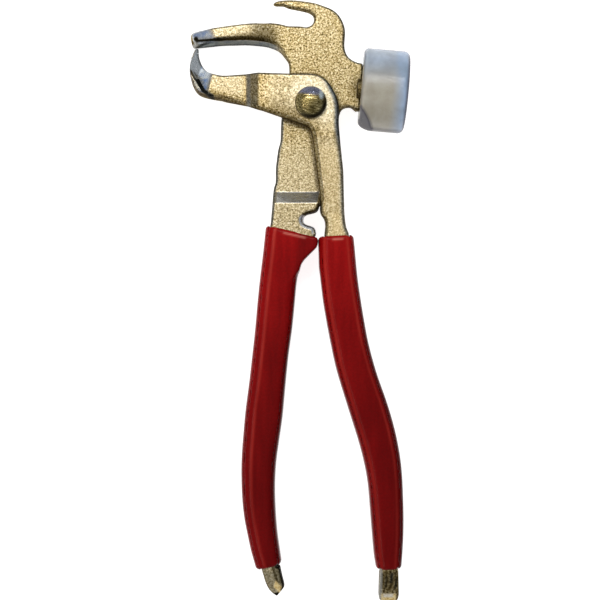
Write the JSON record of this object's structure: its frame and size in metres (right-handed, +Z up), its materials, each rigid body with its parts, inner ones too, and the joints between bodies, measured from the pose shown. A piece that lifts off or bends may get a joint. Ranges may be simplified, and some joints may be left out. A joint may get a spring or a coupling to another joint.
{
  "type": "wheel weight pliers",
  "caption": "Wheel weight pliers for tyre balancing: hooked jaws, prising claw, nylon striking head, crimping notch, and dipped handles ending in a point and a screwdriver blade.",
  "frame": {"origin": "on the bench under the middle of the tool as it lies at rest, rear face down, on the rim of the nylon head, the left grip and the jaw tip", "axes": "+Y from the handles to the head, +X towards the nylon head, +Z up from the bench; the rivet's axis leans 9.5 degrees from +Z because of how the tool lies"},
  "size_m": [0.0894, 0.2408, 0.0351],
  "materials": {
    "lever_steel": "shot-blasted forging, zinc plated with a pale yellow passivate, bare ground steel on the working edges",
    "rivet_steel": "domed rivet, darker yellow passivate, diagonal scratches",
    "nylon": "translucent white nylon, turned",
    "screw_steel": "bright zinc",
    "grip_pvc": "dipped red PVC, glossy"
  },
  "bodies": {
    "main": {"main_lever": "lever_steel", "pivot_rivet": "rivet_steel", "hammer_head": "nylon", "hammer_washer": "screw_steel", "hammer_screw": "screw_steel", "left_grip": "grip_pvc"},
    "jaw": {"jaw_lever": "lever_steel", "right_grip": "grip_pvc"}
  },
  "joints": [
    {"name": "lever_pivot", "type": "hinge", "parent": "main", "child": "jaw", "pos_m": [0.00323, 0.07819, 0.01693], "axis": [-0.1636, -0.016, 0.9864], "range_deg": [0, 32]}
  ]
}
